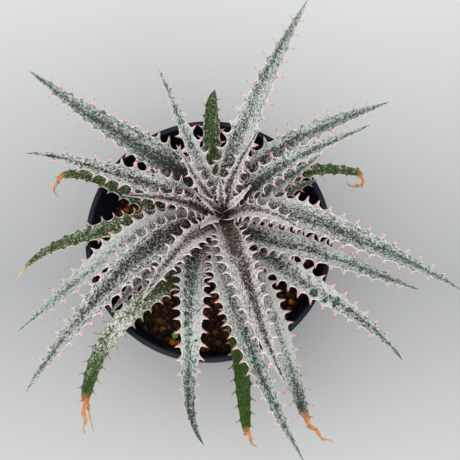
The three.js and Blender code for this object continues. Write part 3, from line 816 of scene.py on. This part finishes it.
def add_tooth(skin, leaf, hand, s, pitch, draw):
    """A hooked tooth, whose root spreads in round scallops to meet the teeth beside it."""
    point, forward, side, up = leaf.frame(s)
    half = leaf.half_width(s)
    size = between(TOOTH_SIZE, s) * min(1.0, 0.55 + leaf.width / 18) * draw.uniform(0.82, 1.1)
    withered = leaf.dry_share(s) > 0
    if withered:
        size *= draw.uniform(0.4, 0.7)
    elif leaf.length < SMALL_LEAF:
        size *= SMALL_TOOTH
    elif leaf.kind == GREEN:
        size *= GREEN_TOOTH
    reach = TOOTH_LENGTH * size
    waist = TOOTH_WAIST * (0.5 + 0.5 * size) * (1 + 0.15 * s)
    scallop = between(SCALLOP_SHARE, s) * reach
    gap = max(0.3, min(pitch / 2 - waist, between(SCALLOP_WIDTH, s) * size))
    if leaf.length < SMALL_LEAF:
        gap = min(gap, 0.6)
    if leaf.kind == GREEN:
        waist *= 0.7
    if withered:
        waist, gap = 0.25, 0.3
    lean = between(TOOTH_LEAN, s) + draw.uniform(-0.2, 0.2) * (3 if withered else 1)
    curl = draw.uniform(0.08, 0.28)
    root = point + side * hand * half + up * CHANNEL * half
    heights = [-0.35, 0.0] + [scallop * share for share in (0.1, 0.3, 0.6, 1.0)]
    heights += [scallop + (reach - scallop) * share for share in (0.3, 0.6, 0.85, 1.0)]
    rings, widths = [], []
    for y in heights:
        out = max(y, 0.0)
        share = min(1.0, out / reach)
        centre = root + side * hand * y + forward * (lean + curl * share) * out
        centre = centre + up * (0.1 + 0.12 * share) * y
        if y < scallop:
            wide = waist + gap * (1 - math.sqrt(1 - (1 - out / scallop) ** 2))
        else:
            wide = waist * max(0.0, 1 - (y - scallop) / (reach - scallop)) ** 0.8 + 0.05
        rings += round_ring(centre, forward * hand, wide, up, 0.3 * (1 - share) ** 0.7 + 0.06)
        widths.append(hand * wide)
    shares = np.repeat([max(y, 0.0) / reach for y in heights], ROUND_SIDES)
    around = np.cos(2 * np.pi * np.arange(ROUND_SIDES) / ROUND_SIDES)
    tooth = xyz(1, shares, np.tile(np.abs(around), len(heights)))
    place = xyz(hand, s, np.ones_like(shares))
    offsets = np.outer(widths, around).ravel()
    cloth = xyz(hand * (half + shares * reach), s * leaf.length + offsets, leaf.layer + TOP_LAYER)
    skin.add(rings, tube_faces(len(heights), ROUND_SIDES), place, cloth, tooth)


def add_strand(skin, leaf):
    """The second strand of a torn dry tip."""
    start = 1 - leaf.dry - 0.04
    s = np.linspace(start, 1, 24)
    turn = math.radians(leaf.split)
    first, _, side, _ = leaf.frame(start)
    forward = leaf.forward(s, turn)
    strides = np.cumsum(forward[1:], axis=0) * leaf.length * (s[1] - s[0])
    walk = first + side * 0.8 + np.vstack([np.zeros(3), strides])
    heading, _ = leaf.bearing(s)
    across = xyz(np.sin(heading + turn), -np.cos(heading + turn), 0)
    up = np.cross(across, forward)
    rings = []
    for i in range(len(s)):
        wide = STRAND_WIDTH * (1 - 0.85 * i / len(s)) + 0.12 * math.sin(i * 1.3)
        rings += round_ring(walk[i], across[i], wide, up[i], STRAND_THICKNESS)
    shares = np.repeat(s, ROUND_SIDES)
    place = xyz(0, shares, 1)
    cloth = xyz(0, shares * leaf.length, leaf.layer)
    skin.add(rings, tube_faces(len(s), ROUND_SIDES), place, cloth, np.zeros_like(place))


def scale_felt_group():
    """How much silver felt covers the skin: fine flecks drawn out along the leaf, in faint bands."""
    group = bpy.data.node_groups.new("scale_felt", "ShaderNodeTree")
    inputs = {"Cloth": "NodeSocketVector", "Cover": "NodeSocketFloat", "Contrast": "NodeSocketFloat"}
    for name, kind in inputs.items():
        group.interface.new_socket(name=name, in_out="INPUT", socket_type=kind)
    for name in ("Felt", "Thick"):
        group.interface.new_socket(name=name, in_out="OUTPUT", socket_type="NodeSocketFloat")
    inside = add_node(group, "NodeGroupInput").outputs
    drawn = mapped(inside["Cloth"], (1.0, 0.55, 1.0))
    rough = add_node(group, "ShaderNodeTexNoise", {"Vector": drawn, "Scale": 2.5}).outputs["Color"]
    ragged = add_node(group, "ShaderNodeMix", {0: 0.35, 4: drawn, 5: rough}, data_type="VECTOR").outputs[1]
    cells = add_node(group, "ShaderNodeTexVoronoi", {"Vector": ragged, "Scale": 4.0}).outputs["Color"]
    cell = add_node(group, "ShaderNodeSeparateXYZ", {"Vector": cells}).outputs["X"]
    fleck = noise(drawn, 2.2, 3.0, 0.75)
    streak = noise(mapped(inside["Cloth"], (1.0, 0.07, 1.0)), 1.0, 2.0, 0.6)
    patch = noise(drawn, 0.22, 3.0, 0.6)
    band = noise(mapped(inside["Cloth"], (0.2, 1.0, 1.0)), 2.2, 2.0, 0.5)
    level = inside["Cover"]
    for value, weight in ((cell, 0.9), (fleck, 2.0), (streak, 0.6), (patch, 0.45), (band, 0.9)):
        swing = math_node("MULTIPLY", math_node("SUBTRACT", value, 0.5), weight)
        level = math_node("ADD", level, swing)
    level = math_node("SUBTRACT", level, 0.5)
    felt = math_node("ADD", math_node("MULTIPLY", level, inside["Contrast"]), 0.5, clamp=True)
    add_node(group, "NodeGroupOutput", {"Felt": felt, "Thick": ramp(level, 0.15, 0.6)})
    return group


scale_felt = scale_felt_group()

LEAF_LOOKS = {
    # felt along the middle and near the margin, how much less at the root and how
    # sharply it ends, then colours: skin at the root, outwards and where rubbed bare,
    # felt at the root, outwards and where thick, and the middle and edge of a tooth
    GREEN: dict(middle=0.24, margin=0.4, root_loss=0.15, contrast=1.6,
                root="#332c1b", skin="#213805", rubbed="#42601a",
                felt="#9ba08a", felt_out="#939b80", thick_felt="#e4e6de",
                tooth="#cf9c94", tooth_edge="#e6d3ca"),
    SILVER: dict(middle=0.3, margin=0.78, root_loss=0.2, contrast=1.5,
                 root="#241d17", skin="#2a362b", rubbed="#34502c",
                 felt="#b4b5b0", felt_out="#97a199", thick_felt="#c6c9c3",
                 tooth="#dc9fa0", tooth_edge="#f6e0dc"),
    YOUNG: dict(middle=0.31, margin=0.95, root_loss=0.12, contrast=2.0,
                root="#3a281c", skin="#37271d", rubbed="#38523a",
                felt="#c0b7b5", felt_out="#a9a7a4", thick_felt="#d9d3d1",
                tooth="#dfa6a6", tooth_edge="#f8e6e3"),
}


def leaf_material(name, look):
    """Green to brown skin under silver felt, pale margins, coral teeth and straw-dry tips."""
    material, tree, shader = new_material(name, Specular_IOR_Level=0.15)
    parts = []
    for field in ("place", "cloth", "tooth", "wear", "looks"):
        vector = painted(tree, field, "Vector")
        parts.append((vector, add_node(tree, "ShaderNodeSeparateXYZ", {"Vector": vector}).outputs))
    (_, place), (cloth, _), (_, tooth), (_, wear), (_, looks) = parts
    edge = math_node("ABSOLUTE", place["X"])
    along = place["Y"]
    # how much of the skin the felt covers
    wave = noise(mapped(cloth, (0.0, 0.06, 1.0)), 1.0, 2.0)
    wander = math_node("MULTIPLY", math_node("SUBTRACT", wave, 0.5), 0.6)
    wander = math_node("SUBTRACT", wander, painted(tree, "lean"))
    off_middle = math_node("ABSOLUTE", math_node("ADD", place["X"], wander))
    off_middle = math_node("ADD", off_middle, ramp(along, 0.1, 0.55, -0.2, 0.05))
    cover = ramp(off_middle, 0.1, 0.7, look["middle"], look["margin"])
    cover = math_node("ADD", cover, looks["X"])
    cover = math_node("ADD", cover, ramp(along, 0.0, 0.35, -look["root_loss"], 0.0))
    cover = math_node("ADD", cover, ramp(along, 0.6, 1.0, 0.0, 0.06))
    blotches = ramp(noise(cloth, 0.38, 2.0, 0.5), 0.56, 0.66)
    off_root = ramp(along, 0.2, 0.35)
    rubbed = math_node("MULTIPLY", math_node("MULTIPLY", blotches, wear["Y"]), off_root)
    spot = painted(tree, "spot")
    ragged = ramp(noise(cloth, 1.2), 0.3, 0.7, 0.5, 1.5)
    spot = ramp(math_node("MULTIPLY", spot, ragged), 0.12, 0.3)
    rubbed = math_node("MAXIMUM", rubbed, spot)
    cover = math_node("SUBTRACT", cover, math_node("MULTIPLY", rubbed, 0.6))
    cover = math_node("SUBTRACT", cover, math_node("MULTIPLY", spot, 0.5))
    contrast = ramp(along, 0.4, 0.9, look["contrast"], 0.75 * look["contrast"])
    inputs = {"Cloth": cloth, "Cover": cover, "Contrast": contrast}
    felted = add_node(tree, "ShaderNodeGroup", inputs, node_tree=scale_felt)
    # the skin, glossy where it is rubbed bare, and the felt over it
    outward = math_node("SUBTRACT", along, painted(tree, "ruddy"))
    skin = mix_colours(ramp(outward, 0.15, 0.5), look["root"], look["skin"])
    mottle = ramp(noise(cloth, 1.9), 0.46, 0.62, 0.0, 0.55)
    mottle = math_node("MULTIPLY", math_node("MULTIPLY", mottle, wear["Y"]), off_root)
    shown = math_node("MAXIMUM", rubbed, mottle)
    skin = mix_colours(shown, skin, look["rubbed"])
    uneven = ramp(noise(cloth, 1.6), 0.35, 0.65)
    glossy = mix_colours(uneven, "#16281a", "#4d6c49")
    skin = mix_colours(spot, skin, glossy)
    felt = mix_colours(ramp(outward, 0.3, 0.75), look["felt"], look["felt_out"])
    dressed = mix_colours(felted.outputs["Felt"], skin, felt)
    thick = math_node("MULTIPLY", felted.outputs["Thick"], ramp(along, 0.3, 0.8, 1.0, 0.6))
    dressed = mix_colours(thick, dressed, look["thick_felt"])
    # painted shade: each leaf darkens to near black brown down its sheath towards the stem, where the leaves
    # crowd the heart
    reach = add_node(tree, "ShaderNodeSeparateXYZ", {"Vector": cloth}).outputs["Y"]
    dressed = mix_colours(ramp(reach, -3.5, 2.0), "#271c14", dressed)
    # the pale line along the margin and around the scallops
    rim = mix_colours(looks["Y"], "#f1e3df", "#4a4a28")
    on_blade = math_node("SUBTRACT", 1.0, tooth["X"])
    faded = math_node("MULTIPLY", on_blade, ramp(along, 0.4, 0.9, 1.0, 0.55))
    lined = math_node("MULTIPLY", ramp(edge, 0.86, 0.96), faded)
    scalloped = math_node("MULTIPLY", ramp(tooth["Z"], 0.55, 0.8), tooth["X"])
    dressed = mix_colours(math_node("MAXIMUM", lined, scalloped), dressed, rim)
    # the teeth, coral on most leaves and dark on the oldest
    pale = ramp(tooth["Z"], 0.3, 0.9)
    coral = mix_colours(pale, look["tooth"], look["tooth_edge"])
    coral = mix_colours(ramp(tooth["Y"], 0.6, 1.0), coral, "#b4525f")
    thorn = mix_colours(ramp(tooth["Y"], 0.35, 0.9), "#9b7554", "#2e211a")
    dark = math_node("MAXIMUM", looks["Y"], wear["X"])
    coral = mix_colours(dark, coral, thorn)
    outer = math_node("ADD", tooth["Y"], ramp(along, 0.3, 0.6, 0.0, 0.3))
    spike = math_node("MULTIPLY", ramp(outer, 0.3, 0.7), tooth["X"])
    coloured = mix_colours(spike, dressed, coral)
    # cream, brown and withered ends
    coloured = mix_colours(looks["Z"], coloured, "#d6bfa6")
    coloured = mix_colours(wear["Z"], coloured, "#5b4630")
    straw = mix_colours(ramp(along, 0.88, 1.0), "#d5854a", "#cfae7c")
    fibre = noise(mapped(cloth, (1.6, 0.25, 1.0)), 1.5, 3.0)
    torn = math_node("MAXIMUM", ramp(fibre, 0.52, 0.66), ramp(edge, 0.7, 1.0))
    straw = mix_colours(math_node("MULTIPLY", torn, 0.6), straw, "#6b3d1e")
    on_spike = math_node("SUBTRACT", wear["X"], math_node("MULTIPLY", spike, 0.8), clamp=True)
    coloured = mix_colours(on_spike, coloured, straw)
    feed(shader, "Base Color", coloured)
    dull = ramp(felted.outputs["Felt"], 0.0, 1.0, 0.42, 0.9)
    dull = math_node("MULTIPLY", dull, ramp(spot, 0.0, 1.0, 1.0, 0.6))
    feed(shader, "Roughness", dull)
    add_bump(shader, felted.outputs["Felt"], 0.35, 0.3 * MM)
    return material


leaf_materials = {kind: leaf_material(kind + "_skin", look) for kind, look in LEAF_LOOKS.items()}


def finish_leaf(leaf, skin):
    """Makes the leaf's piece and stores what its material reads."""
    points, place, cloth, tooth = map(np.vstack, (skin.points, skin.place, skin.cloth, skin.tooth))
    node = f"leaf_{leaf.number:02d}"
    piece = new_piece(node + "_blade", points * MM, skin.faces, leaf_materials[leaf.kind], leaf.kind, node)
    s = place[:, 1]
    full = np.ones_like(s)
    dry = np.clip(leaf.dry_share(s) * 4, 0, 1)
    brown = np.clip((s - leaf.brown) / 0.04, 0, 1) * 0.8
    cream = np.clip((s - leaf.cream) / 0.06, 0, 1) * 0.85
    dark_teeth = leaf.dark_teeth * np.clip((s - 0.35) / 0.1, 0, 1)
    felt = np.interp(s, FELT_PLACES, leaf.felt if isinstance(leaf.felt, tuple) else [leaf.felt] * 3)
    spot = 0 * full
    for number, along, across, long, wide in BARE_SPOTS:
        if number == leaf.number:
            middle = across * leaf.half_width(along)
            off = np.hypot((cloth[:, 1] - along * leaf.length) / long, (cloth[:, 0] - middle) / wide)
            spot = np.maximum(spot, 1 - off / 1.3)
    stores = {
        "place": place,
        "cloth": cloth,
        "tooth": tooth,
        "wear": xyz(dry, leaf.bare, brown),
        "looks": xyz(felt, dark_teeth, cream),
        "lean": leaf.lean * full,
        "ruddy": leaf.ruddy * full,
        "spot": spot * (place[:, 2] > 0) * (tooth[:, 0] == 0),
    }
    for name, values in stores.items():
        set_values(piece, name, values)


for number in range(1, len(LEAVES) + 1):
    leaf = Leaf(number)
    draw = random.Random(LEAF_SEED + number)
    skin = Skin()
    add_blade(skin, leaf, draw)
    for hand in (-1, 1):
        for s, pitch in tooth_places(leaf, hand, draw):
            add_tooth(skin, leaf, hand, s, pitch, draw)
    if leaf.split:
        add_strand(skin, leaf)
    finish_leaf(leaf, skin)


# ---- Crumbs -----------------------------------------------------------------
# Three crumbs of pale amber clay, caught between the youngest leaves when the
# pot was filled.

# (leaf, part of its length, place across it in half widths, radius in millimetres)
CRUMBS = [(25, 0.05, -0.9, 0.95), (26, 0.012, 0.45, 0.55), (26, 0.02, 0.1, 0.4)]

amber, tree, shader = new_material("amber_clay", Roughness=0.7, Specular_IOR_Level=0.3)
place = own_place(tree)
grainy = noise(place, 1500.0, 3.0)
amber_shades = mix_colours(ramp(grainy, 0.35, 0.65), "#8a6230", "#c9a866")
feed(shader, "Base Color", amber_shades)
unit, unit_faces = ball(2)
crumb_vertices, crumb_faces = [], []
for k, (number, s, across, size) in enumerate(CRUMBS):
    leaf = Leaf(number)
    point, _, side, up = leaf.frame(s)
    half = leaf.half_width(s)
    seat = TOP_BULGE * LEAF_THICKNESS[0] + CHANNEL * half * abs(across) ** CHANNEL_CURVE + 0.5 * size
    lumpy = 1 + 0.12 * np.sin(3 * unit[:, :1] + 2 * k) + 0.1 * np.cos(4 * unit[:, 1:2] - k)
    crumb_faces += [tuple(f + len(unit) * k) for f in unit_faces]
    crumb_vertices += list((unit * lumpy * size + point + side * across * half + up * seat) * MM)
new_piece("amber_crumbs", crumb_vertices, crumb_faces, amber, "soil")


# ---- Seedling ---------------------------------------------------------------
# A weed seedling no bigger than a granule, with a few rounded bright green
# leaves on a short stalk, sprouting from the soil at the front.
SEEDLING = np.array([-14.7, -39.0, 70.8]) * MM
SEEDLING_LEAVES = 5
LEAFLET_SIZE = np.array([1.4, 0.85, 0.22]) * MM
LEAFLET_TILT = -0.55
# (radius, height) of the stalk, in millimetres
STALK_PROFILE = [(0, -2), (0.35, -2), (0.3, 0.9), (0, 1.0)]

fresh_green, tree, shader = new_material("fresh_green_leaf", Roughness=0.5, Subsurface_Weight=0.1)
place = own_place(tree)
tint = noise(place, 900.0, 2.0)
feed(shader, "Base Color", mix_colours(tint, "#4f8f2a", "#8cc44a"))
unit, unit_faces = ball(3)
tuft_vertices, tuft_faces = [], []
for k in range(SEEDLING_LEAVES):
    angle = 2 * math.pi * k / SEEDLING_LEAVES + 0.4
    size = LEAFLET_SIZE * (1.0 if k % 2 else 0.8)
    blade = unit * size
    blade[:, 2] += 0.25 * (blade[:, 0] ** 2) / MM
    blade[:, 0] += size[0] * 0.75
    x = blade[:, 0] * math.cos(LEAFLET_TILT) + blade[:, 2] * math.sin(LEAFLET_TILT)
    z = -blade[:, 0] * math.sin(LEAFLET_TILT) + blade[:, 2] * math.cos(LEAFLET_TILT)
    turned_x = x * math.cos(angle) - blade[:, 1] * math.sin(angle)
    turned_y = x * math.sin(angle) + blade[:, 1] * math.cos(angle)
    tuft_faces += [tuple(f + len(unit) * k) for f in unit_faces]
    tuft_vertices += list(xyz(turned_x, turned_y, z + 0.5 * MM) + SEEDLING)
stalk_vertices, stalk_faces = turned([(r * MM, z * MM) for r, z in STALK_PROFILE], 12)
tuft_faces += [tuple(i + len(tuft_vertices) for i in f) for f in stalk_faces]
tuft_vertices += list(np.array(stalk_vertices) + SEEDLING)
new_piece("seedling_tuft", tuft_vertices, tuft_faces, fresh_green, "seedling", "seedling")
